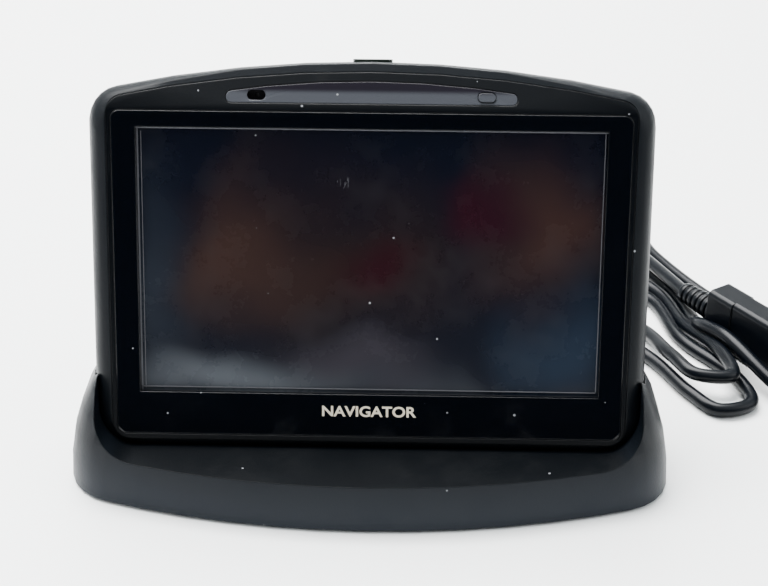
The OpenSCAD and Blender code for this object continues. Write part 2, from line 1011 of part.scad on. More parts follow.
// One slice of the navigator's path: the case's lower outline, carried on upwards.
module cradle_slice(run, z, grow) {
    r = corner_r + run * back_open + grow;
    w = half_w - run + grow;
    plate(z - SLICE_T, z) {
        round_rect([-w, -half_h + run - grow], [w, half_h], r);
        translate([-w, 0])
            square([2 * w, lift_travel]);
    }
}

// Path of the seated navigator, which lifts out along its face.
module cradle(grow) {
    seat()
        hull() {
            for (a = [0:30:90])
                cradle_slice(front_inset(a), -rim_d * (1 - sin(a)) + grow * sin(a), grow);
            for (a = [0:15:75])
                cradle_slice(back_run * (1 - back_bulge(cos(a))),
                             SLICE_T - side_end - (case_d - side_end) * back_bulge(sin(a))
                             - grow * sin(a), grow);
            cradle_slice(back_run, SLICE_T - case_d - grow, grow);
        }
}

// Space in front of the navigator, above the apron and between the horns.
module scoop() {
    side = half_w - scoop_lap;
    intersection() {
        translate([0, CUT, 0])
            rotate([90, 0, 0])
                linear_extrude(height = 2 * CUT)
                    round_rect([-side, apron_z], [side, CUT], scoop_r);
        seat()
            block([-CUT, -CUT, -scoop_depth], [CUT, CUT, CUT]);
    }
}

// Hollow under the dock: a low space all over, one under the apron, one behind the navigator.
module dock_cavity() {
    difference() {
        block([-CUT, -CUT, -CUT], [CUT, CUT, low_ceiling]);
        for (p = dock_screws_at)
            translate([p[0], p[1], base_top])
                cylinder(d = dock_boss_d, h = dock_h);
    }
    block([-front_bay, -CUT, 0], [front_bay, apron_back, apron_z - dock_wall]);
    seat()
        block([-rear_bay, -CUT, -CUT], [rear_bay, CUT, -case_d - seat_fit - dock_wall]);
    seat()
        block([-contact_board_w / 2 - contact_fit, -half_h - pocket_deep,
               contact_board_z - contact_fit],
              [contact_board_w / 2 + contact_fit, contact_board_y,
               contact_board_z + contact_board_d + contact_fit]);
}

module dock_shell() {
    color(PLASTIC)
        difference() {
            dome(0, 0);
            cradle(seat_fit);
            scoop();
            intersection() {
                dome(dock_wall, -1);
                dock_cavity();
            }
            for (p = dock_screws_at)
                translate([p[0], p[1], 0])
                    cylinder(d = dock_screw_d + 2 * screw_fit,
                             h = foot_h + dock_screw_head_t + dock_screw_l + 0.5);
            seat()
                block([-contact_w / 2 - contact_fit, -half_h - 3 * dock_wall,
                       socket_z - contact_t / 2 - contact_fit - pin_t],
                      [contact_w / 2 + contact_fit, -half_h + dock_wall,
                       socket_z + contact_t / 2 + contact_fit]);
            along_y(0, relief_z, dock_d / 2 - 3 * dock_wall, dock_d / 2 + dock_wall)
                circle(relief_neck_r + hole_fit);
            along_y(0, relief_z, dock_d / 2 - 5 * dock_wall, relief_seat_y + hole_fit)
                circle(relief_flange_r + hole_fit);
        }
}

module dock_base() {
    color(PLASTIC)
        difference() {
            plate(foot_h, base_top)
                dock_outline(dock_wall + dome_inset(base_top) + base_fit);
            for (p = feet_at)
                translate([p[0], p[1], foot_h - 1])
                    cylinder(d = foot_d + 2 * base_fit, h = foot_sunk + 1);
            for (p = dock_screws_at)
                translate([p[0], p[1], foot_h - 1]) {
                    cylinder(d = dock_screw_head_d + 2 * base_fit, h = dock_screw_head_t + 1);
                    cylinder(d = dock_screw_d + 2 * screw_fit, h = base_t + 2);
                }
        }
}

module dock_weights() {
    color(STEEL) {
        block(front_weight[0], front_weight[1]);
        for (side = [0, 1])
            mirror([side, 0, 0])
                block(rear_weight[0], rear_weight[1]);
    }
}

module dock_feet() {
    color([0.08, 0.08, 0.08])
        for (p = feet_at)
            translate([p[0], p[1], 0])
                cylinder(d = foot_d, h = foot_h + foot_sunk);
}

module dock_screws() {
    color(STEEL)
        for (p = dock_screws_at)
            translate([p[0], p[1], foot_h + dock_screw_head_t])
                screw(dock_screw_d, dock_screw_head_d, dock_screw_head_t, dock_screw_l);
}

module contact_block() {
    color(DARK)
        seat()
            block([-contact_w / 2, contact_board_y, socket_z - contact_t / 2],
                  [contact_w / 2, contact_top, socket_z + contact_t / 2]);
}

module contact_strips() {
    color(BRASS)
        seat()
            for (i = [0:pin_count - 1]) {
                x = (i - (pin_count - 1) / 2) * pin_pitch;
                block([x - pin_w / 2, contact_board_y, socket_z - contact_t / 2 - pin_t],
                      [x + pin_w / 2, contact_top - pin_end, socket_z - contact_t / 2]);
            }
}

module contact_board() {
    color(GREEN)
        seat()
            block([-contact_board_w / 2, contact_board_y - contact_board_t, contact_board_z],
                  [contact_board_w / 2, contact_board_y, contact_board_z + contact_board_d]);
}

module cord_clamp() {
    color([0.3, 0.3, 0.32])
        difference() {
            block([-clamp_w / 2, clamp_y, base_top],
                  [clamp_w / 2, clamp_y + clamp_l, relief_z + cord_d]);
            along_y(0, relief_z, clamp_y - 1, clamp_y + clamp_l + 1)
                circle(d = cord_d);
        }
}

// Outline of a ribbed sleeve, half of it: radius from r0 down to r1 over length l.
function sleeve(r0, r1, l, ribs, groove) =
    let (step = l / (ribs + 1))
        concat(
            [[0, 0]],
            [for (i = [0:ribs - 1], k = [0:3])
                let (y = step * (i + RIB_STEPS[k]))
                    [r0 + (r1 - r0) * y / l - (k > 1 ? groove : 0), y]],
            [[r1, step * ribs], [r1, l], [0, l]]
        );

// Sleeve that holds the cord in the dock's rear wall, with ribs outside.
module cord_relief() {
    color([0.07, 0.07, 0.08]) {
        along_y(0, relief_z, relief_seat_y - relief_flange_t, relief_seat_y)
            circle(relief_flange_r);
        along_y(0, relief_z, relief_seat_y - JOIN, dock_d / 2 + JOIN)
            circle(relief_neck_r);
        translate([0, dock_d / 2, relief_z])
            rotate([-90, 0, 0])
                rotate_extrude()
                    polygon(sleeve(relief_r, relief_tip_r, relief_l, relief_ribs, relief_groove));
    }
}

// ---------- cord and plug ----------

function knot(a, b) = sqrt(norm(b - a));

// Point at the share s of the way from b to c on a curve through a, b, c and d.
function curve_point(a, b, c, d, s) =
    let (
        t1 = knot(a, b),
        t2 = t1 + knot(b, c),
        t3 = t2 + knot(c, d),
        t = t1 + (t2 - t1) * s,
        a1 = ((t1 - t) * a + t * b) / t1,
        a2 = ((t2 - t) * b + (t - t1) * c) / (t2 - t1),
        a3 = ((t3 - t) * c + (t - t2) * d) / (t3 - t2),
        b1 = ((t2 - t) * a1 + t * a2) / t2,
        b2 = ((t3 - t) * a2 + (t - t1) * a3) / (t3 - t1)
    )
    ((t2 - t) * b1 + (t - t1) * b2) / (t2 - t1);

// Keeps a point of the cord's middle line above the desk.
function above_desk(p) = [p[0], p[1], max(p[2], cord_d / 2)];

// Corners of the cord's ring at p, square to the direction way.
function cord_ring(p, way) =
    let (
        side = cross(way, [0, 0, 1]) / norm(cross(way, [0, 0, 1])),
        up = cross(side, way) / norm(way)
    )
    [for (j = [0:cord_sides - 1])
        p + cord_d / 2 * (cos(360 * j / cord_sides) * side + sin(360 * j / cord_sides) * up)];

module cord_tube() {
    last = len(cord_points) - 1;
    run = concat([2 * cord_points[0] - cord_points[1]], cord_points,
                 [2 * cord_points[last] - cord_points[last - 1]]);
    line = concat(
        [for (i = [1:last], k = [0:cord_rings - 1])
            above_desk(curve_point(run[i - 1], run[i], run[i + 1], run[i + 2], k / cord_rings))],
        [cord_points[last]]);
    end = len(line) - 1;
    corners = [for (i = [0:end])
        each cord_ring(line[i], line[min(i + 1, end)] - line[max(i - 1, 0)])];
    color([0.07, 0.07, 0.08])
        polyhedron(corners, concat(
            [[for (j = [0:cord_sides - 1]) j]],
            [for (i = [0:end - 1], j = [0:cord_sides - 1])
                [i * cord_sides + j, (i + 1) * cord_sides + j,
                 (i + 1) * cord_sides + (j + 1) % cord_sides, i * cord_sides + (j + 1) % cord_sides]],
            [[for (j = [cord_sides - 1:-1:0]) end * cord_sides + j]]
        ));
}

// Stands what is drawn in the plug's frame beside the dock: x towards its tip, z up.
module plug_seat() {
    translate(plug_at)
        rotate(plug_turn)
            children();
}

// Prism along x, from x0 to x1, of an outline in y and z.
module along_x(x0, x1) {
    translate([x0, 0, 0])
        rotate([90, 0, 90])
            linear_extrude(height = x1 - x0)
                children();
}

module plug_relief() {
    color([0.07, 0.07, 0.08])
        plug_seat()
            rotate([0, -90, 0])
                rotate_extrude()
                    polygon(sleeve(plug_relief_r, plug_relief_tip_r, plug_relief_l, plug_ribs,
                                   relief_groove));
}

module plug_body() {
    half_h = plug_h / 2;
    color([0.1, 0.1, 0.12])
        plug_seat()
            difference() {
                union() {
                    along_x(0, plug_grip_l)
                        round_rect([-plug_grip_t / 2, -half_h], [plug_grip_t / 2, half_h], plug_r);
                    along_x(plug_grip_l - JOIN, plug_l)
                        round_rect([-plug_t / 2, -half_h], [plug_t / 2, half_h], plug_r);
                }
                along_x(plug_l - plug_lap, plug_l + 1)
                    square([shell_t + 2 * panel_fit, shell_h + 2 * panel_fit], center = true);
            }
}

module plug_shell() {
    color(STEEL)
        plug_seat()
            along_x(plug_l - plug_lap, plug_l + shell_l)
                difference() {
                    square([shell_t, shell_h], center = true);
                    square([shell_t - 2 * shell_wall, shell_h - 2 * shell_wall], center = true);
                }
}

module plug_tongue() {
    color(DARK)
        plug_seat()
            block([plug_l - plug_lap, -shell_t / 2 + shell_wall + JOIN, -tongue_h / 2],
                  [plug_l + shell_l - pin_end, 0, tongue_h / 2]);
}

module plug_contacts() {
    color(BRASS)
        plug_seat()
            for (z = plug_contacts_at)
                block([plug_l - plug_lap, 0, z - pin_w / 2],
                      [plug_l + shell_l - 2 * pin_end, pin_t, z + pin_w / 2]);
}

rear_housing();
front_bezel();
gloss_panel();
lens_strip();
sensor_lens();
microphone_boot();
microphone();
light_sensor();
screen_gasket();
touch_panel();
lcd_panel();
lcd_frame();
display_flex();
chassis_plate();
main_board();
board_chips();
shield_can();
gps_antenna();
battery_pad();
battery_cell();
speaker();
speaker_seal();
speaker_grille();
power_cap();
power_switch();
card_socket();
memory_card();
dock_socket();
usb_socket();
reset_switch();
reset_plunger();
board_screws();
case_screws();
dock_shell();
dock_base();
dock_weights();
dock_feet();
dock_screws();
contact_block();
contact_strips();
contact_board();
cord_clamp();
cord_relief();
cord_tube();
plug_relief();
plug_body();
plug_shell();
plug_tongue();
plug_contacts();
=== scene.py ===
"""Looks of a pocket car navigator in its desk dock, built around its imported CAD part."""

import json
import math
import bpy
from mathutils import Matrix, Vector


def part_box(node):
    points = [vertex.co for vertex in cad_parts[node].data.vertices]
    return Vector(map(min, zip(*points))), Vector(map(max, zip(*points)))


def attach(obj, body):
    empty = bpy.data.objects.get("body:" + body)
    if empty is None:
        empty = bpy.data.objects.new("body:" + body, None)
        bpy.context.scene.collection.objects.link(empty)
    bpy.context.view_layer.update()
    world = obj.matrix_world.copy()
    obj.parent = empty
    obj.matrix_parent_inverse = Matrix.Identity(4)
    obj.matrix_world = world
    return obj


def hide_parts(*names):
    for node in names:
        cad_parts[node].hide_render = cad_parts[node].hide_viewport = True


bl_info = {
    "name": "Navigator in dock",
    "version": (1, 0, 0),
    "blender": (4, 5, 0),
    "location": "View3D > Sidebar > Navigator",
    "description": "Builds the cord, reliefs, finishes and stage of a navigator standing in its dock",
    "category": "Object",
}

import bmesh
import bpy
import numpy as np
from bpy.props import FloatProperty, FloatVectorProperty, IntProperty, PointerProperty, StringProperty
from mathutils import Matrix, Vector

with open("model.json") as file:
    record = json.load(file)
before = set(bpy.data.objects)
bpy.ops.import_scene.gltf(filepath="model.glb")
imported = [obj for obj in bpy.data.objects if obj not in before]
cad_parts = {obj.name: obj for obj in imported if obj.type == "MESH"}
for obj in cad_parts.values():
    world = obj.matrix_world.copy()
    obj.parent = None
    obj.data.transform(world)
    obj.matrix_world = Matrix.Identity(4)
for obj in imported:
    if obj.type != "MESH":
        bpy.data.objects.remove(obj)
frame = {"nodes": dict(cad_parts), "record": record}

MM = 0.001
LEAN = math.radians(19)

# The foot of the navigator's face and half of its height, in millimetres.
FOOT_Y, FOOT_Z, HALF_HEIGHT = -17.5, 9.8, 41.5
FACE = Vector((0, (FOOT_Y + HALF_HEIGHT * math.sin(LEAN)) * MM, (FOOT_Z + HALF_HEIGHT * math.cos(LEAN)) * MM))

# Where the cord leaves the dock, and the sleeve and its neck before that place, in metres.
DOCK_SLEEVE_AT = (0, 0.0315, 0.0064)
DOCK_NECK_AT = (0, 0.0305, 0.0064)
PLUG_AT = Vector((0.087, 0.0498, 0.0073))
PLUG_TURN = math.radians(-56)
SLEEVE_TIP = 0.0016

# The printed word's place on the face, in metres, and the screen's places, in millimetres.
MARK_AT = (0, -0.0318, 0.00001)
WINDOW_HALF = (48.5, 28.0)
# Depths of the painted highlight lines round the window and of the screen, in millimetres.
EDGE_HIGHLIGHT_DEPTH = -1.45
SCREEN_DEPTH = -1.57
SCRATCHES_AT = (-4.8, 17.4)
LAMP_AIM = (0, 0, 0.04)

# Middle line of the cord, in millimetres: from the dock, round its loops, to the plug.
CORD_LINE = [
    (0, 43, 6.4), (1, 51, 4.6), (12, 57.5, 1.7), (58, 47.5, 1.7), (68.5, 36, 1.7),
    (75.8, 21, 1.7), (81.5, 13.8, 1.7), (89.6, 16.6, 1.7), (88.6, 27, 1.7), (77.7, 45, 1.7),
    (72, 66, 1.7), (53, 77.5, 1.7), (45, 67, 1.7), (54, 57.5, 1.7), (67, 50.5, 2),
    (73, 32, 5.1), (77.4, 23.6, 5.3), (85.8, 23, 5.3), (85.4, 35, 4.9), (79.4, 53, 1.7),
    (75.6, 68, 1.7), (64.5, 82.5, 1.7), (52, 92, 1.7), (52.5, 109, 1.7), (70, 114, 1.7),
    (77.5, 89, 1.7), (90.5, 63, 1.7), (115, 31, 1.7), (114.5, 16.5, 1.7), (105, 12.5, 2),
    (97, 20, 3.8), (87, 37, 7.6), (82.6, 46, 5.6), (82.2, 52, 3), (80.6, 64, 1.7),
    (73, 82, 1.7), (57, 97, 1.7), (66, 105, 1.7), (72.5, 84, 5), (80.3, 59.7, 7.3),
]


class NavigatorCamera(bpy.types.PropertyGroup):
    """Where the camera stands and how it looks"""

    place: FloatVectorProperty(
        name="Place", description="Where the camera stands", subtype="TRANSLATION", unit="LENGTH",
        default=(0.008098, -0.257881, 0.188926),
    )
    pitch: FloatProperty(
        name="Pitch", description="How far the camera looks down", subtype="ANGLE", unit="ROTATION",
        default=math.radians(30),
    )
    yaw: FloatProperty(
        name="Yaw", description="How far the camera turns to its right", subtype="ANGLE",
        unit="ROTATION", default=-0.02007,
    )
    roll: FloatProperty(
        name="Roll", description="How far the camera is tilted", subtype="ANGLE", unit="ROTATION",
        default=0.00491,
    )
    lens: FloatProperty(
        name="Lens", description="Focal length in millimetres on a 36 mm sensor", default=65.28,
    )


class NavigatorCord(bpy.types.PropertyGroup):
    """The cord and the sleeves at its ends"""

    diameter: FloatProperty(
        name="Diameter", description="Thickness of the cord", subtype="DISTANCE", unit="LENGTH",
        default=0.0034,
    )
    steps: IntProperty(
        name="Steps", description="Points of the curve between two points of its line", default=12,
    )
    length: FloatProperty(
        name="Length", description="Real length of the cord", subtype="DISTANCE", unit="LENGTH",
        default=0.68,
    )
    ribs: IntProperty(name="Ribs", description="Ribs on the plug's sleeve", default=6)
    dock_ribs: IntProperty(name="Dock ribs", description="Ribs on the dock's sleeve", default=5)
    rib_share: FloatProperty(
        name="Rib share", description="Share of each step that its rib fills", subtype="FACTOR",
        default=0.62,
    )
    groove: FloatProperty(
        name="Groove", description="Depth of the grooves between the ribs", subtype="DISTANCE",
        unit="LENGTH", default=0.0005,
    )


class NavigatorFinish(bpy.types.PropertyGroup):
    """Wear and colour shared by the finishes"""

    dust: FloatProperty(
        name="Dust", description="Share of the dust specks that show", subtype="FACTOR", default=0.07,
    )
    dust_color: FloatVectorProperty(
        name="Dust colour", description="Colour of the dust", subtype="COLOR",
        default=(0.35, 0.36, 0.38),
    )
    edge: FloatProperty(
        name="Edge", description="Radius by which moulded edges catch the light",
        subtype="DISTANCE", unit="LENGTH", default=0.00035,
    )
    split: FloatProperty(
        name="Smooth angle", description="Edges sharper than this stay sharp", subtype="ANGLE",
        unit="ROTATION", default=math.radians(30),
    )
    mark: StringProperty(
        name="Mark", description="Plain word printed under the screen", default="NAVIGATOR",
    )
    mark_width: FloatProperty(
        name="Mark width", description="Width of the printed word", subtype="DISTANCE",
        unit="LENGTH", default=0.02,
    )
    mark_color: FloatVectorProperty(
        name="Mark colour", description="Colour of the printed word", subtype="COLOR",
        default=(0.52, 0.46, 0.36),
    )


class NavigatorStage(bpy.types.PropertyGroup):
    """The desk and the light round the object"""

    floor_color: FloatVectorProperty(
        name="Floor colour", description="Colour of the desk", subtype="COLOR",
        default=(0.95, 0.96, 0.955),
    )
    sky: FloatProperty(name="Sky", description="Strength of the light from all round", default=2.0)
    key: FloatProperty(
        name="Key", description="Power of the large lamp", unit="POWER", default=62.0,
    )
    fill: FloatProperty(
        name="Fill", description="Power of the small lamps", unit="POWER", default=2.0,
    )


# ---------- helpers: places ----------

def seated(x, y, z):
    """A point of the navigator's own frame, in millimetres, in the row frame in metres."""
    return FACE + MM * Vector((
        x,
        y * math.sin(LEAN) - z * math.cos(LEAN),
        y * math.cos(LEAN) + z * math.sin(LEAN),
    ))


def seat_matrix():
    """The navigator's own frame, in metres, as a matrix."""
    return Matrix.Translation(FACE) @ Matrix.Rotation(math.pi / 2 - LEAN, 4, "X")


def cord_curve(line, steps, floor):
    """Points of a smooth curve through all points of a line, none of them under the floor."""
    points = [np.array(p, float) * MM for p in line]
    points = [2 * points[0] - points[1]] + points + [2 * points[-1] - points[-2]]
    curve = []
    for a, b, c, d in zip(points, points[1:], points[2:], points[3:]):
        t1 = np.linalg.norm(b - a) ** 0.5
        t2 = t1 + np.linalg.norm(c - b) ** 0.5
        t3 = t2 + np.linalg.norm(d - c) ** 0.5
        for k in range(steps):
            t = t1 + (t2 - t1) * k / steps
            a1 = ((t1 - t) * a + t * b) / t1
            a2 = ((t2 - t) * b + (t - t1) * c) / (t2 - t1)
            a3 = ((t3 - t) * c + (t - t2) * d) / (t3 - t2)
            b1 = ((t2 - t) * a1 + t * a2) / t2
            b2 = ((t3 - t) * a2 + (t - t1) * a3) / (t3 - t1)
            curve.append(((t2 - t) * b1 + (t - t1) * b2) / (t2 - t1))
    curve.append(points[-2])
    return [(p[0], p[1], max(p[2], floor)) for p in curve]


def mesh_object(name, build):
    """A new mesh object, filled by build(bmesh)."""
    shape = bmesh.new()
    build(shape)
    bmesh.ops.recalc_face_normals(shape, faces=shape.faces)
    mesh = bpy.data.meshes.new(name)
    shape.to_mesh(mesh)
    shape.free()
    obj = bpy.data.objects.new(name, mesh)
    bpy.context.scene.collection.objects.link(obj)
    return obj


def soften(obj, angle):
    """Smooth shading that keeps edges sharper than the angle."""
    obj.data.polygons.foreach_set("use_smooth", [True] * len(obj.data.polygons))
    weld = obj.modifiers.new("Weld", "WELD")
    weld.merge_threshold = 0.00001
    edges = obj.modifiers.new("Edges", "EDGE_SPLIT")
    edges.split_angle = angle


# ---------- helpers: node trees ----------

def put(tree, kind, sockets=(), **settings):
    """Adds a node, sets its settings, and sets or joins its inputs by name or number."""
    node = tree.nodes.new(kind)
    count = len(tree.nodes)
    node.location = (240 * (count % 7), -260 * (count // 7))
    for name, value in settings.items():
        setattr(node, name, value)
    for key, value in dict(sockets).items():
        if isinstance(value, bpy.types.NodeSocket):
            tree.links.new(value, node.inputs[key])
        else:
            node.inputs[key].default_value = value
    return node


def maths(tree, operation, a, b):
    """The result of one operation on two values, kept between 0 and 1."""
    return put(tree, "ShaderNodeMath", {0: a, 1: b}, operation=operation, use_clamp=True).outputs[0]


def mapped(tree, value, low, high, to_low=0.0, to_high=1.0):
    """A value brought from one range smoothly into another."""
    sockets = {"Value": value, 1: low, 2: high, 3: to_low, 4: to_high}
    return put(tree, "ShaderNodeMapRange", sockets, interpolation_type="SMOOTHSTEP").outputs[0]


def blended(tree, share, a, b):
    """A colour between two colours."""
    node = put(tree, "ShaderNodeMix", data_type="RGBA")
    for socket, value in ((node.inputs[0], share), (node.inputs[6], a), (node.inputs[7], b)):
        if isinstance(value, bpy.types.NodeSocket):
            tree.links.new(value, socket)
        else:
            socket.default_value = value if socket == node.inputs[0] else (*value, 1)
    return node.outputs[2]


def wear_group():
    """The shared group that gives moulding grain, dust specks and smudges."""
    name = "surface_wear"
    if name in bpy.data.node_groups:
        return bpy.data.node_groups[name]
    tree = bpy.data.node_groups.new(name, "ShaderNodeTree")
    for label, default in (("Grain Scale", 2200.0), ("Speck Scale", 420.0), ("Speck Share", 0.07)):
        socket = tree.interface.new_socket(name=label, in_out="INPUT", socket_type="NodeSocketFloat")
        socket.default_value = default
    for label in ("Grain", "Specks", "Smudge"):
        tree.interface.new_socket(name=label, in_out="OUTPUT", socket_type="NodeSocketFloat")
    given = put(tree, "NodeGroupInput")
    place = put(tree, "ShaderNodeTexCoord").outputs["Object"]
    grain = put(tree, "ShaderNodeTexNoise",
                {"Vector": place, "Scale": given.outputs[0], "Detail": 3.0, "Roughness": 0.6})
    cells = put(tree, "ShaderNodeTexVoronoi", {"Vector": place, "Scale": given.outputs[1]})
    pick = put(tree, "ShaderNodeSeparateColor", {0: cells.outputs["Color"]})
    shown = maths(tree, "LESS_THAN", pick.outputs[0], given.outputs[2])
    size = mapped(tree, pick.outputs[1], 0.0, 1.0, 0.04, 0.11)
    dot = maths(tree, "LESS_THAN", cells.outputs["Distance"], size)
    specks = maths(tree, "MULTIPLY", shown, dot)
    cloud = put(tree, "ShaderNodeTexNoise",
                {"Vector": place, "Scale": 55.0, "Detail": 6.0, "Roughness": 0.7})
    smudge = mapped(tree, cloud.outputs["Fac"], 0.42, 0.72)
    put(tree, "NodeGroupOutput", {0: grain.outputs["Fac"], 1: specks, 2: smudge})
    return tree


def start_look(name):
    """A new material, its tree and its shader."""
    material = bpy.data.materials.new(name)
    material.use_nodes = True
    tree = material.node_tree
    return material, tree, tree.nodes["Principled BSDF"]


def add_wear(tree, shader, color, rough, props, grain=0.2, scale=2200.0, dust=1.0, edge=None, gleam=0.1):
    """Joins a colour with dust, uneven roughness, grain and rounded edges to a shader."""
    wear = put(tree, "ShaderNodeGroup", node_tree=wear_group())
    wear.inputs["Grain Scale"].default_value = scale
    wear.inputs["Speck Share"].default_value = props.dust * dust
    shader.inputs["Specular IOR Level"].default_value = gleam
    faint = maths(tree, "MULTIPLY", wear.outputs["Specks"], 0.45)
    tree.links.new(blended(tree, faint, color, props.dust_color), shader.inputs["Base Color"])
    uneven = mapped(tree, wear.outputs["Smudge"], 0.0, 1.0, max(rough - 0.04, 0.02), rough + 0.06)
    rougher = maths(tree, "ADD", uneven, maths(tree, "MULTIPLY", wear.outputs["Specks"], 0.5))
    tree.links.new(rougher, shader.inputs["Roughness"])
    rounded = put(tree, "ShaderNodeBevel", {"Radius": props.edge if edge is None else edge}, samples=4)
    bump = put(tree, "ShaderNodeBump", {
        "Strength": grain, "Distance": 0.0001, "Height": wear.outputs["Grain"],
        "Normal": rounded.outputs[0]})
    tree.links.new(bump.outputs[0], shader.inputs["Normal"])


def plain_look(name, color, rough, props, metal=0.0, coat=0.0, **wear):
    """A finish of one colour with the shared wear."""
    material, tree, shader = start_look(name)
    add_wear(tree, shader, color, rough, props, **wear)
    shader.inputs["Metallic"].default_value = metal
    shader.inputs["Coat Weight"].default_value = coat
    shader.inputs["Coat Roughness"].default_value = 0.05
    return material


def case_look(name, low, high, z0, z1, rough, props, top=None):
    """Rubberised moulding whose colour changes between two heights, and on the faces that look up; on the
    dock both changes are painted shade, on the lens the lighter lower part is a painted reflection.
    """
    material, tree, shader = start_look(name)
    place = put(tree, "ShaderNodeSeparateXYZ", {0: put(tree, "ShaderNodeTexCoord").outputs["Object"]})
    color = blended(tree, mapped(tree, place.outputs[2], z0, z1), low, high)
    # Faces that look up take their own colour: painted shade, darkest on the dock's apron.
    if top is not None:
        facing = put(tree, "ShaderNodeSeparateXYZ",
                     {0: put(tree, "ShaderNodeNewGeometry").outputs["Normal"]})
        color = blended(tree, mapped(tree, facing.outputs[2], 0.7, 0.97), color, top)
    add_wear(tree, shader, color, rough, props, grain=0.35)
    return material


def patch(tree, across, height, middle, reach):
    """A soft oval of ones on the screen, given in millimetres from the window's middle."""
    x = put(tree, "ShaderNodeMath", {0: across, 1: middle[0] * MM}, operation="SUBTRACT").outputs[0]
    z = put(tree, "ShaderNodeMath", {0: height, 1: FACE.z + middle[1] * MM}, operation="SUBTRACT").outputs[0]
    x = put(tree, "ShaderNodeMath", {0: x, 1: reach[0] * MM}, operation="DIVIDE").outputs[0]
    z = put(tree, "ShaderNodeMath", {0: z, 1: reach[1] * MM}, operation="DIVIDE").outputs[0]
    away = put(tree, "ShaderNodeVectorMath", {0: put(tree, "ShaderNodeCombineXYZ", {0: x, 1: z}).outputs[0]},
               operation="LENGTH").outputs["Value"]
    return mapped(tree, away, 1.0, 0.0)


def screen_look(name, props):
    """Satin dark film: blue-black, with warm, purple and blue-grey patches that run into each other; the pale
    grey band along the bottom is a painted highlight.
    """
    material, tree, shader = start_look(name)
    given = put(tree, "ShaderNodeTexCoord").outputs["Object"]
    cloud = put(tree, "ShaderNodeTexNoise", {"Vector": given, "Scale": 30.0, "Detail": 2.0})
    stir = put(tree, "ShaderNodeVectorMath", {0: cloud.outputs["Color"], 1: (0.5, 0.5, 0.5)},
               operation="SUBTRACT")
    drift = put(tree, "ShaderNodeVectorMath", {0: stir.outputs[0], "Scale": 0.03}, operation="SCALE")
    moved = put(tree, "ShaderNodeVectorMath", {0: given, 1: drift.outputs[0]}, operation="ADD")
    place = put(tree, "ShaderNodeSeparateXYZ", {0: moved.outputs[0]})
    color = (0.0008, 0.0015, 0.005)
    for middle, reach, tint in (
        ((-8, 0), (48, 27), (0.009, 0.0045, 0.0045)),
        ((-27, 2), (20, 20), (0.019, 0.0095, 0.008)),
        ((35, 7), (19, 22), (0.018, 0.0085, 0.0075)),
        ((-2, 0), (14, 13), (0.010, 0.001, 0.003)),
        ((22, 10), (12, 9), (0.010, 0.001, 0.004)),
        ((-48, -6), (15, 36), (0.010, 0.013, 0.019)),
        ((48, 6), (8, 14), (0.012, 0.009, 0.011)),
        ((42, -17), (20, 13), (0.006, 0.011, 0.021)),
        ((-4, -22), (26, 8), (0.016, 0.014, 0.019)),
        # Painted highlight: these two pale grey patches make a band along the bottom of the window.
        ((-30, -28), (34, 9), (0.045, 0.050, 0.058)),
        ((24, -28), (40, 8), (0.028, 0.031, 0.038)),
    ):
        share = patch(tree, place.outputs[0], place.outputs[2], middle, reach)
        color = blended(tree, share, color, tint)
    add_wear(tree, shader, color, 0.30, props, grain=0.05, scale=3800.0, dust=0.8, edge=0.0001, gleam=0.2)
    return material


def scratch_and_edge_highlight_look(name):
    """Fine scratches, and the painted highlight lines along the window's edge."""
    material, _, shader = start_look(name)
    shader.inputs["Base Color"].default_value = (0.07, 0.07, 0.08, 1)
    shader.inputs["Roughness"].default_value = 0.45
    return material


def finishes(props):
    """Every finish of the record, by its slot."""
    rows = (
        ("bezel_plastic", (0.0008, 0.0012, 0.002), 0.32, {"grain": 0.15}),
        ("gloss_black", (0.0006, 0.001, 0.002), 0.08, {"grain": 0.0, "dust": 1.3, "gleam": 0.25}),
        ("button_plastic", (0.010, 0.015, 0.012), 0.34, {}),
        ("soft_rubber", (0.005, 0.005, 0.006), 0.55, {"grain": 0.3}),
        ("cord_jacket", (0.0012, 0.002, 0.0035), 0.32, {"grain": 0.1, "dust": 0.8, "gleam": 0.14}),
        ("foam", (0.02, 0.02, 0.02), 0.9, {"grain": 0.8, "scale": 900.0}),
        ("steel", (0.60, 0.60, 0.62), 0.28, {"metal": 1.0, "grain": 0.05, "dust": 0.3}),
        ("circuit_board", (0.02, 0.16, 0.07), 0.3, {"grain": 0.1, "dust": 0.2}),
        ("chip_black", (0.01, 0.01, 0.01), 0.5, {"dust": 0.2}),
        ("ceramic", (0.62, 0.56, 0.44), 0.4, {"dust": 0.1}),
        ("battery_foil", (0.70, 0.70, 0.72), 0.35, {"metal": 1.0, "dust": 0.2}),
        ("amber_film", (0.55, 0.26, 0.05), 0.25, {"dust": 0.1}),
        ("card_plastic", (0.03, 0.05, 0.16), 0.4, {"dust": 0.2}),
        ("gold_contact", (0.80, 0.62, 0.25), 0.2, {"metal": 1.0, "dust": 0.1}),
    )
    looks = {name: plain_look(name, color, rough, props, **more) for name, color, rough, more in rows}
    looks["case_plastic"] = case_look(
        "case_plastic", (0.002, 0.0028, 0.004), (0.0025, 0.0035, 0.005), 0.02, 0.09, 0.42, props)
    # Painted shade: the dock is lighter at the foot of its front wall, darker higher up, and darkest on the
    # apron that looks up.
    looks["dock_plastic"] = case_look(
        "dock_plastic", (0.008, 0.0105, 0.015), (0.002, 0.003, 0.0045), 0.001, 0.016, 0.42, props,
        top=(0.0006, 0.0012, 0.002))
    # Painted reflection: the lens strip is lighter grey on its lower part and dark above it.
    foot, crown = (corner.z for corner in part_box("lens_strip"))
    looks["smoky_lens"] = case_look(
        "smoky_lens", (0.030, 0.032, 0.038), (0.004, 0.003, 0.006), foot + 0.45 * (crown - foot),
        foot + 0.7 * (crown - foot), 0.14, props)
    looks["screen"] = screen_look("screen", props)
    return looks


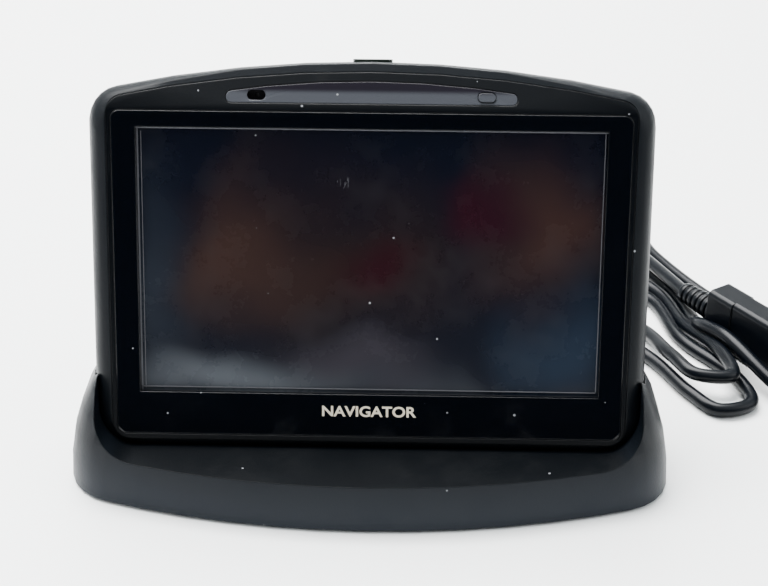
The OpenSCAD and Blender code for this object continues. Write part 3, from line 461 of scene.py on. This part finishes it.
def look_of(slot):
    """The material made for a slot."""
    return bpy.data.materials[slot]


def finish_piece(obj, slot, body):
    """Gives a piece its finish and the CAD body it moves with."""
    if not obj.data.materials:
        obj.data.materials.append(look_of(slot))
    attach(obj, body)


# ---------- helpers: geometry nodes ----------

def rib_group():
    """A row of round ribs up the z axis, each a little smaller than the one below."""
    name = "rib_row"
    if name in bpy.data.node_groups:
        return bpy.data.node_groups[name]
    tree = bpy.data.node_groups.new(name, "GeometryNodeTree")
    tree.interface.new_socket(name="Geometry", in_out="INPUT", socket_type="NodeSocketGeometry")
    for label, kind, value in (
        ("Count", "NodeSocketInt", 6), ("Step", "NodeSocketFloat", 0.002),
        ("Start Radius", "NodeSocketFloat", 0.0034), ("End Radius", "NodeSocketFloat", 0.0027),
        ("Rib Width", "NodeSocketFloat", 0.0012), ("Material", "NodeSocketMaterial", None),
    ):
        socket = tree.interface.new_socket(name=label, in_out="INPUT", socket_type=kind)
        if value is not None:
            socket.default_value = value
    tree.interface.new_socket(name="Geometry", in_out="OUTPUT", socket_type="NodeSocketGeometry")
    given = put(tree, "NodeGroupInput").outputs
    offset = put(tree, "ShaderNodeCombineXYZ", {2: given["Step"]}).outputs[0]
    line = put(tree, "GeometryNodeMeshLine", {"Count": given["Count"], "Offset": offset})
    rib = put(tree, "GeometryNodeMeshCylinder", {"Vertices": 40, "Radius": 1.0, "Depth": given["Rib Width"]})
    last = put(tree, "ShaderNodeMath", {0: given["Count"], 1: 1.0}, operation="SUBTRACT").outputs[0]
    share = put(tree, "ShaderNodeMath", {0: put(tree, "GeometryNodeInputIndex").outputs[0], 1: last},
                operation="DIVIDE").outputs[0]
    radius = put(tree, "ShaderNodeMapRange",
                 {"Value": share, 3: given["Start Radius"], 4: given["End Radius"]}).outputs[0]
    scale = put(tree, "ShaderNodeCombineXYZ", {0: radius, 1: radius, 2: 1.0}).outputs[0]
    many = put(tree, "GeometryNodeInstanceOnPoints",
               {"Points": line.outputs[0], "Instance": rib.outputs["Mesh"], "Scale": scale})
    real = put(tree, "GeometryNodeRealizeInstances", {0: many.outputs[0]})
    coat = put(tree, "GeometryNodeSetMaterial", {"Geometry": real.outputs[0], "Material": given["Material"]})
    put(tree, "NodeGroupOutput", {0: coat.outputs[0]})
    return tree


def ribbed_sleeve(name, start, end, length, count, matrix, props, slot):
    """A tapered sleeve with a row of ribs, its base at the origin and its tip up z, moved by matrix."""
    step = (length - SLEEVE_TIP) / count
    width = step * props.rib_share
    obj = mesh_object(name, lambda shape: None)
    modifier = obj.modifiers.new("Ribs", "NODES")
    modifier.node_group = rib_group()
    values = {"Count": count, "Step": step, "Start Radius": start, "End Radius": end,
              "Rib Width": width, "Material": look_of(slot)}
    for item in modifier.node_group.interface.items_tree:
        if item.in_out == "INPUT" and item.name in values:
            modifier[item.identifier] = values[item.name]
    bpy.context.view_layer.update()
    made = bpy.data.meshes.new_from_object(obj.evaluated_get(bpy.context.evaluated_depsgraph_get()))
    obj.modifiers.remove(modifier)
    shape = bmesh.new()
    shape.from_mesh(made)
    bmesh.ops.translate(shape, vec=(0, 0, width / 2), verts=shape.verts)
    bmesh.ops.create_cone(shape, segments=40, cap_ends=True, radius1=start - props.groove,
                          radius2=end - props.groove, depth=length,
                          matrix=Matrix.Translation((0, 0, length / 2)))
    bmesh.ops.create_cone(shape, segments=40, cap_ends=True, radius1=end, radius2=end - 0.0002,
                          depth=SLEEVE_TIP,
                          matrix=Matrix.Translation((0, 0, length - SLEEVE_TIP / 2)))
    shape.transform(matrix)
    shape.to_mesh(obj.data)
    shape.free()
    bpy.data.meshes.remove(made)
    if not obj.data.materials:
        obj.data.materials.append(look_of(slot))
    bevel = obj.modifiers.new("Round", "BEVEL")
    bevel.width = 0.00025
    bevel.segments = 2
    soften(obj, props_angle())
    return obj


def props_angle():
    """The angle above which edges stay sharp."""
    return bpy.context.scene.navigator_finish.split


# ---------- operators ----------

class NAVIGATOR_OT_camera(bpy.types.Operator):
    """Stand the camera in front of the object"""

    bl_idname = "navigator.camera"
    bl_label = "Camera"

    def execute(self, context):
        props = context.scene.navigator_camera
        data = bpy.data.cameras.new("camera")
        data.lens = props.lens
        data.sensor_width = 36
        data.clip_start = 0.01
        camera = bpy.data.objects.new("camera", data)
        context.scene.collection.objects.link(camera)
        flat = math.cos(props.pitch)
        ahead = Vector((math.sin(props.yaw) * flat, math.cos(props.yaw) * flat, -math.sin(props.pitch)))
        right = Vector((math.cos(props.yaw), -math.sin(props.yaw), 0))
        up = right.cross(ahead)
        side = right * math.cos(props.roll) + up * math.sin(props.roll)
        top = side.cross(ahead)
        turn = Matrix((side, top, -ahead)).transposed()
        camera.matrix_world = Matrix.Translation(Vector(props.place)) @ turn.to_4x4()
        context.scene.camera = camera
        return {"FINISHED"}


class NAVIGATOR_OT_finishes(bpy.types.Operator):
    """Make the finishes and give them to the CAD nodes"""

    bl_idname = "navigator.finishes"
    bl_label = "Finishes"

    def execute(self, context):
        props = context.scene.navigator_finish
        for old in bpy.data.materials:
            old.name = "frame_" + old.name
        looks = finishes(props)
        slots = {part["node"]: part["material_slot"] for part in frame["record"]["subparts"]}
        rounded = {"gloss_panel": 0.0003, "plug_body": 0.0006, "memory_card": 0.0002,
                   "plug_shell": 0.0001, "power_cap": 0.0003, "lens_strip": 0.00015}
        for name, obj in frame["nodes"].items():
            obj.data.materials.clear()
            obj.data.materials.append(looks[slots[name]])
            soften(obj, props.split)
            if name in rounded:
                bevel = obj.modifiers.new("Round", "BEVEL")
                bevel.width = rounded[name]
                bevel.segments = 3
                bevel.limit_method = "ANGLE"
                obj.modifiers.move(2, 1)
                even = obj.modifiers.new("Even", "WEIGHTED_NORMAL")
                even.keep_sharp = True
        return {"FINISHED"}


class NAVIGATOR_OT_cord(bpy.types.Operator):
    """Lay the cord in its loops beside the dock"""

    bl_idname = "navigator.cord"
    bl_label = "Cord"

    def execute(self, context):
        props = context.scene.navigator_cord
        points = cord_curve(CORD_LINE, props.steps, props.diameter / 2)
        data = bpy.data.curves.new("cord", "CURVE")
        data.dimensions = "3D"
        spline = data.splines.new("POLY")
        spline.points.add(len(points) - 1)
        for point, place in zip(spline.points, points):
            point.co = (*place, 1)
        data.bevel_depth = props.diameter / 2
        data.bevel_resolution = 4
        data.use_fill_caps = True
        cord = bpy.data.objects.new("cord", data)
        context.scene.collection.objects.link(cord)
        finish_piece(cord, "cord_jacket", "dock")
        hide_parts("cord_tube")
        pieces = [frame["nodes"][n] for n in ("plug_body", "plug_shell", "plug_tongue", "plug_contacts")]
        pieces += [bpy.data.objects["plug_sleeve"], bpy.data.objects["dock_sleeve"]]
        return {"FINISHED"}


class NAVIGATOR_OT_sleeves(bpy.types.Operator):
    """Make the ribbed sleeves at the dock and at the plug"""

    bl_idname = "navigator.sleeves"
    bl_label = "Sleeves"

    def execute(self, context):
        props = context.scene.navigator_cord
        at_plug = (Matrix.Translation(PLUG_AT) @ Matrix.Rotation(PLUG_TURN, 4, "Z")
                   @ Matrix.Rotation(-math.pi / 2, 4, "Y"))
        plug = ribbed_sleeve("plug_sleeve", 0.0034, 0.0027, 0.012, props.ribs, at_plug, props,
                             "cord_jacket")
        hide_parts("plug_relief")
        at_dock = Matrix.Translation(DOCK_SLEEVE_AT) @ Matrix.Rotation(-math.pi / 2, 4, "X")
        dock = ribbed_sleeve("dock_sleeve", 0.0035, 0.0023, 0.0115, props.dock_ribs, at_dock, props,
                             "soft_rubber")
        neck = Matrix.Translation(DOCK_NECK_AT) @ Matrix.Rotation(-math.pi / 2, 4, "X")
        shape = bmesh.new()
        shape.from_mesh(dock.data)
        bmesh.ops.create_cone(shape, segments=40, cap_ends=True, radius1=0.0026, radius2=0.0026,
                              depth=0.004, matrix=neck)
        shape.to_mesh(dock.data)
        shape.free()
        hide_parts("cord_relief")
        for obj, slot in ((plug, "cord_jacket"), (dock, "soft_rubber")):
            finish_piece(obj, slot, "dock")
        return {"FINISHED"}


class NAVIGATOR_OT_mark(bpy.types.Operator):
    """Print a plain word under the screen"""

    bl_idname = "navigator.mark"
    bl_label = "Mark"

    def execute(self, context):
        props = context.scene.navigator_finish
        text = bpy.data.curves.new("mark_text", "FONT")
        text.body = props.mark
        text.align_x = "CENTER"
        text.align_y = "CENTER"
        text.extrude = 0.004
        text.offset = 0.022
        holder = bpy.data.objects.new("mark_text", text)
        context.scene.collection.objects.link(holder)
        context.view_layer.update()
        mesh = bpy.data.meshes.new_from_object(holder.evaluated_get(context.evaluated_depsgraph_get()))
        bpy.data.objects.remove(holder)
        xs = [v.co.x for v in mesh.vertices]
        scale = props.mark_width / (max(xs) - min(xs))
        middle = Matrix.Translation(MARK_AT)
        mesh.transform(seat_matrix() @ middle @ Matrix.Diagonal((scale, scale * 0.9, 0.002, 1)))
        material, _, shader = start_look("mark_ink")
        shader.inputs["Base Color"].default_value = (*props.mark_color, 1)
        shader.inputs["Roughness"].default_value = 0.45
        mesh.materials.clear()
        mesh.materials.append(material)
        mark = bpy.data.objects.new("mark", mesh)
        context.scene.collection.objects.link(mark)
        finish_piece(mark, "gloss_black", "navigator")
        return {"FINISHED"}


def strip_between(shape, a, b, width, thick):
    """A thin flat bar from a to b in the navigator's own frame, in millimetres."""
    run = Vector(b) - Vector(a)
    side = Vector((-run.y, run.x, 0)).normalized() * width / 2
    corners = []
    for lift in (-thick, 0):
        for end, way in ((a, 1), (a, -1), (b, -1), (b, 1)):
            p = Vector(end) + side * way
            corners.append(shape.verts.new(seated(p.x, p.y, p.z + lift)))
    lower, upper = corners[:4], corners[4:]
    shape.faces.new(upper)
    shape.faces.new(lower[::-1])
    for i in range(4):
        j = (i + 1) % 4
        shape.faces.new((lower[i], lower[j], upper[j], upper[i]))


class NAVIGATOR_OT_screen(bpy.types.Operator):
    """Add the painted highlight lines round the window's edge and the scratches on the screen"""

    bl_idname = "navigator.screen"
    bl_label = "Screen"

    def execute(self, context):
        x, y = WINDOW_HALF
        deep = EDGE_HIGHLIGHT_DEPTH

        # Painted highlights: thin light strips along the window's edges, double at the left.
        def edge(shape):
            strip_between(shape, (-x, y - 0.2, deep), (x, y - 0.2, deep), 0.3, 0.1)
            strip_between(shape, (-x + 0.2, -y, deep), (-x + 0.2, y - 0.4, deep), 0.3, 0.1)
            strip_between(shape, (-x + 0.95, -y + 0.5, deep), (-x + 0.95, y - 0.9, deep), 0.12, 0.1)
            strip_between(shape, (-x + 0.4, -y + 0.8, deep), (x - 0.4, -y + 0.8, deep), 0.22, 0.1)
            strip_between(shape, (x - 0.35, -y + 1, deep), (x - 0.35, y - 0.4, deep), 0.16, 0.1)

        def scratches(shape):
            spots = np.random.default_rng(7)
            for _ in range(9):
                at = np.array(SCRATCHES_AT) + spots.normal(0, 1.1, 2)
                turn = spots.uniform(1.1, 2.0)
                half = spots.uniform(0.4, 1.6) / 2
                step = half * np.array([math.cos(turn), math.sin(turn)])
                a, b = at - step, at + step
                strip_between(shape, (a[0], a[1], SCREEN_DEPTH), (b[0], b[1], SCREEN_DEPTH), 0.05, 0.02)

        scratch_and_highlight_finish = scratch_and_edge_highlight_look("screen_wear")
        for name, build in (("window_line", edge), ("screen_marks", scratches)):
            obj = mesh_object(name, build)
            obj.data.materials.append(scratch_and_highlight_finish)
            finish_piece(obj, "screen", "navigator")
        return {"FINISHED"}


class NAVIGATOR_OT_stage(bpy.types.Operator):
    """Set the pale desk and the soft light"""

    bl_idname = "navigator.stage"
    bl_label = "Stage"

    def execute(self, context):
        props = context.scene.navigator_stage
        scene = context.scene
        material, _, shader = start_look("desk")
        shader.inputs["Base Color"].default_value = (*props.floor_color, 1)
        shader.inputs["Roughness"].default_value = 0.6

        def desk(shape):
            reach, back, rise, radius = 2.5, 0.9, 1.6, 0.35
            outline = [(-reach, 0.0), (back, 0.0)]
            for i in range(1, 13):
                turn = math.pi / 2 * i / 12
                outline.append((back + radius * math.sin(turn), radius * (1 - math.cos(turn))))
            outline.append((back + radius, rise))
            rows = [[shape.verts.new((x, y, z)) for y, z in outline] for x in (-reach, reach)]
            for i in range(len(outline) - 1):
                shape.faces.new((rows[0][i], rows[1][i], rows[1][i + 1], rows[0][i + 1]))

        floor = mesh_object("desk", desk)
        floor.data.polygons.foreach_set("use_smooth", [True] * len(floor.data.polygons))
        floor.data.materials.append(material)
        world = bpy.data.worlds.new("studio")
        world.use_nodes = True
        sky = world.node_tree
        way = put(sky, "ShaderNodeSeparateXYZ", {0: put(sky, "ShaderNodeTexCoord").outputs["Generated"]})
        level = put(sky, "ShaderNodeMath", {0: way.outputs[1], 1: 0.9, 2: way.outputs[2]},
                    operation="MULTIPLY_ADD")
        open_side = mapped(sky, level.outputs[0], -0.45, 0.6, 0.02 * props.sky, props.sky)
        sky.links.new(open_side, sky.nodes["Background"].inputs[1])
        sky.nodes["Background"].inputs[0].default_value = (0.90, 0.96, 0.98, 1)
        scene.world = world
        for name, place, size, power in (
            ("key", (-0.25, 0.35, 0.95), (1.1, 0.7), props.key),
            ("left", (-0.8, -0.35, 0.45), (0.5, 0.6), props.fill),
            ("right", (0.75, -0.2, 0.5), (0.5, 0.6), props.fill),
        ):
            data = bpy.data.lights.new(name, "AREA")
            data.shape = "RECTANGLE"
            data.size, data.size_y = size
            data.energy = power
            lamp = bpy.data.objects.new(name, data)
            lamp.location = place
            aim = Vector(LAMP_AIM) - Vector(place)
            lamp.rotation_euler = aim.to_track_quat("-Z", "Y").to_euler()
            scene.collection.objects.link(lamp)
        return {"FINISHED"}


class NAVIGATOR_PT_panel(bpy.types.Panel):
    """Settings and steps of the navigator"""

    bl_idname = "NAVIGATOR_PT_panel"
    bl_label = "Navigator"
    bl_space_type = "VIEW_3D"
    bl_region_type = "UI"
    bl_category = "Navigator"

    def draw(self, context):
        for group in GROUPS:
            box = self.layout.box()
            props = getattr(context.scene, group)
            for name in type(props).__annotations__:
                box.prop(props, name)
        for step in STEPS:
            self.layout.operator(step.bl_idname)


GROUPS = {
    "navigator_camera": NavigatorCamera,
    "navigator_cord": NavigatorCord,
    "navigator_finish": NavigatorFinish,
    "navigator_stage": NavigatorStage,
}
STEPS = (
    NAVIGATOR_OT_camera,
    NAVIGATOR_OT_finishes,
    NAVIGATOR_OT_sleeves,
    NAVIGATOR_OT_cord,
    NAVIGATOR_OT_mark,
    NAVIGATOR_OT_screen,
    NAVIGATOR_OT_stage,
)
CLASSES = (*GROUPS.values(), *STEPS, NAVIGATOR_PT_panel)


def register():
    for cls in CLASSES:
        bpy.utils.register_class(cls)
    for name, group in GROUPS.items():
        setattr(bpy.types.Scene, name, PointerProperty(type=group))


def unregister():
    for name in GROUPS:
        delattr(bpy.types.Scene, name)
    for cls in reversed(CLASSES):
        bpy.utils.unregister_class(cls)


def main():
    register()
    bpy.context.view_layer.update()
    for step in STEPS:
        area, name = step.bl_idname.split(".")
        getattr(getattr(bpy.ops, area), name)()


if __name__ == "__main__":
    main()
